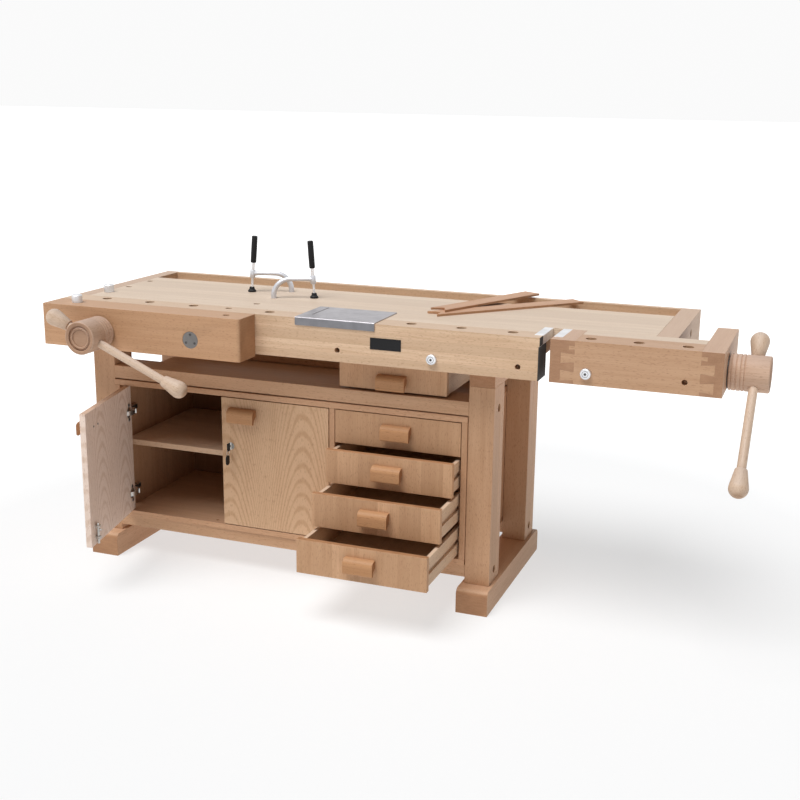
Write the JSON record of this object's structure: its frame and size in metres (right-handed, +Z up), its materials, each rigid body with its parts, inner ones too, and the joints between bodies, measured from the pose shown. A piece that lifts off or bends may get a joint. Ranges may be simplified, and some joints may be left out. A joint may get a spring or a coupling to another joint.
{
  "type": "woodworking bench with vises",
  "caption": "Beech joiner's bench with a front vise, dovetailed tail vise, tool well, trestle base and a cabinet of doors and drawers, with dogs, pegs and holdfasts.",
  "frame": {"origin": "on the floor, under the middle of the whole bench as it stands, with its vises, open door and open drawers", "axes": "+X along the bench to the tail vise at the right, +Y to the tool well at the back, +Z up"},
  "size_m": [2.1943, 0.9448, 1.0674],
  "materials": {
    "beech": "oiled",
    "beech_top": "oiled",
    "beech_board": "lacquered",
    "steel": "satin",
    "dark_steel": "oiled",
    "aluminium": "machined",
    "cast_iron": "painted",
    "black_plastic": "matt"
  },
  "bodies": {
    "bench": {"top_slab": "beech_top", "front_apron": "beech_top", "left_end_cap": "beech_top", "right_end_cap": "beech_top", "back_rail": "beech_top", "well_floor": "beech_board", "frame_bolts": "dark_steel", "bench_jaw_facing": "steel", "tail_vise_nut": "cast_iron", "tail_guide_rail": "steel", "front_vise_nut": "cast_iron", "front_guide_bush": "beech", "legs": "beech", "feet": "beech", "top_rails": "beech", "stretchers": "beech", "cabinet_uprights": "beech_board", "cabinet_top_and_bottom": "beech_board", "cabinet_back": "beech_board", "cabinet_shelf": "beech_board", "drawer_runners": "black_plastic", "cabinet_fittings": "steel"},
    "tail_vise": {"tail_front_board": "beech", "tail_jaw_block": "beech", "tail_end_block": "beech", "tail_top_board": "beech", "tail_jaw_bar": "steel", "tail_guide_bar": "beech"},
    "tail_spindle": {"tail_screw": "steel", "tail_hub": "beech"},
    "tail_bar": {"tail_handle": "beech"},
    "front_vise": {"front_jaw": "beech", "front_guide_rod": "steel"},
    "front_spindle": {"front_screw": "steel", "front_hub": "beech"},
    "front_bar": {"front_handle": "beech"},
    "dog_in_jaw": {"jaw_dog": "aluminium"},
    "dog_in_top": {"bench_dog": "aluminium"},
    "clamp_a": {"holdfast_a_arm": "aluminium"},
    "clamp_a_shoe": {"holdfast_a_shoe": "black_plastic"},
    "clamp_a_spindle": {"holdfast_a_spindle": "black_plastic"},
    "clamp_b": {"holdfast_b_arm": "aluminium"},
    "clamp_b_shoe": {"holdfast_b_shoe": "black_plastic"},
    "clamp_b_spindle": {"holdfast_b_spindle": "black_plastic"},
    "peg_in_apron": {"apron_peg": "aluminium"},
    "peg_in_tail": {"tail_peg": "aluminium"},
    "plate": {"edge_plate": "aluminium"},
    "long_batten": {"batten_lower": "beech"},
    "short_batten": {"batten_upper": "beech"},
    "door_left": {"left_door": "beech_board", "left_door_fittings": "steel"},
    "door_bolt": {"left_door_bolt": "steel"},
    "door_right": {"right_door": "beech_board", "right_door_fittings": "steel"},
    "key": {"door_key": "black_plastic"},
    "drawer_one": {"drawer_1": "beech_board"},
    "drawer_two": {"drawer_2": "beech_board"},
    "drawer_three": {"drawer_3": "beech_board"},
    "drawer_four": {"drawer_4": "beech_board"},
    "drawer_under": {"under_drawer": "beech_board"}
  },
  "joints": [
    {"name": "tail_vise_slide", "type": "slide", "parent": "bench", "child": "tail_vise", "axis": [1, 0, 0], "range_m": [-0.0295, 0.1205]},
    {"name": "tail_screw_turn", "type": "hinge", "parent": "tail_vise", "child": "tail_spindle", "pos_m": [1.057, -0.0585, 0.804], "axis": [1, 0, 0], "range_deg": [-1062, 4338]},
    {"name": "tail_handle_slide", "type": "slide", "parent": "tail_spindle", "child": "tail_bar", "axis": [0, -0.7181, -0.6959], "range_m": [-0.2274, 0]},
    {"name": "front_vise_slide", "type": "slide", "parent": "bench", "child": "front_vise", "axis": [0, -1, 0], "range_m": [0, 0.15]},
    {"name": "front_screw_turn", "type": "hinge", "parent": "front_vise", "child": "front_spindle", "pos_m": [-0.8864, -0.3613, 0.804], "axis": [0, -1, 0], "range_deg": [0, 5400]},
    {"name": "front_handle_slide", "type": "slide", "parent": "front_spindle", "child": "front_bar", "axis": [0.9171, 0, -0.3987], "range_m": [-0.2274, 0]},
    {"name": "jaw_dog_lift", "type": "slide", "parent": "front_vise", "child": "dog_in_jaw", "axis": [0, 0, 1], "range_m": [0, 0.06]},
    {"name": "bench_dog_lift", "type": "slide", "parent": "bench", "child": "dog_in_top", "axis": [0, 0, 1], "range_m": [0, 0.06]},
    {"name": "clamp_a_lift", "type": "slide", "parent": "bench", "child": "clamp_a", "axis": [0, 0, 1], "range_m": [0, 0.09]},
    {"name": "clamp_a_shoe_slide", "type": "slide", "parent": "clamp_a", "child": "clamp_a_shoe", "axis": [0.064, 0.0278, 0.9976], "range_m": [0, 0.02]},
    {"name": "clamp_a_spindle_turn", "type": "hinge", "parent": "clamp_a_shoe", "child": "clamp_a_spindle", "pos_m": [-0.59538, 0.17396, 0.942], "axis": [0.064, 0.0278, 0.9976], "range_deg": [0, 1800]},
    {"name": "clamp_b_lift", "type": "slide", "parent": "bench", "child": "clamp_b", "axis": [0, 0, 1], "range_m": [0, 0.09]},
    {"name": "clamp_b_shoe_slide", "type": "slide", "parent": "clamp_b", "child": "clamp_b_shoe", "axis": [-0.064, -0.0278, 0.9976], "range_m": [0, 0.02]},
    {"name": "clamp_b_spindle_turn", "type": "hinge", "parent": "clamp_b_shoe", "child": "clamp_b_spindle", "pos_m": [-0.36062, 0.14304, 0.942], "axis": [-0.064, -0.0278, 0.9976], "range_deg": [0, 1800]},
    {"name": "apron_peg_pull", "type": "slide", "parent": "bench", "child": "peg_in_apron", "axis": [0, -1, 0], "range_m": [0, 0.07]},
    {"name": "tail_peg_pull", "type": "slide", "parent": "tail_vise", "child": "peg_in_tail", "axis": [0, -1, 0], "range_m": [0, 0.07]},
    {"name": "edge_plate_lift", "type": "slide", "parent": "bench", "child": "plate", "axis": [0, 0, 1], "range_m": [0, 0.05]},
    {"name": "long_batten_lift", "type": "slide", "parent": "bench", "child": "long_batten", "axis": [0, 0, 1], "range_m": [0, 0.05]},
    {"name": "short_batten_lift", "type": "slide", "parent": "long_batten", "child": "short_batten", "axis": [0, 0, 1], "range_m": [0, 0.05]},
    {"name": "left_door_swing", "type": "hinge", "parent": "bench", "child": "door_left", "pos_m": [-0.934, -0.1085, 0.3715], "axis": [0, 0, -1], "range_deg": [-78, 27]},
    {"name": "door_bolt_slide", "type": "slide", "parent": "door_left", "child": "door_bolt", "axis": [0, 0, 1], "range_m": [-0.014, 0]},
    {"name": "right_door_swing", "type": "hinge", "parent": "bench", "child": "door_right", "pos_m": [-0.20775, -0.1085, 0.3715], "axis": [0, 0, 1], "range_deg": [0, 90]},
    {"name": "key_turn", "type": "hinge", "parent": "door_right", "child": "key", "pos_m": [-0.53863, -0.113, 0.4255], "axis": [0, -1, 0], "range_deg": [-90, 90]},
    {"name": "drawer_one_slide", "type": "slide", "parent": "bench", "child": "drawer_one", "axis": [0, -1, 0], "range_m": [0, 0.32]},
    {"name": "drawer_two_slide", "type": "slide", "parent": "bench", "child": "drawer_two", "axis": [0, -1, 0], "range_m": [-0.074, 0.246]},
    {"name": "drawer_three_slide", "type": "slide", "parent": "bench", "child": "drawer_three", "axis": [0, -1, 0], "range_m": [-0.177, 0.143]},
    {"name": "drawer_four_slide", "type": "slide", "parent": "bench", "child": "drawer_four", "axis": [0, -1, 0], "range_m": [-0.286, 0.034]},
    {"name": "under_drawer_slide", "type": "slide", "parent": "bench", "child": "drawer_under", "axis": [0, -1, 0], "range_m": [0, 0.25]}
  ],
  "couplings": [
    {"joint": "tail_vise_slide", "follows": "tail_screw_turn", "m_per_rad": 0.0015915},
    {"joint": "front_vise_slide", "follows": "front_screw_turn", "m_per_rad": 0.0015915},
    {"joint": "clamp_a_spindle_turn", "follows": "clamp_a_shoe_slide", "rad_per_m": 1570.8},
    {"joint": "clamp_b_spindle_turn", "follows": "clamp_b_shoe_slide", "rad_per_m": 1570.8}
  ]
}
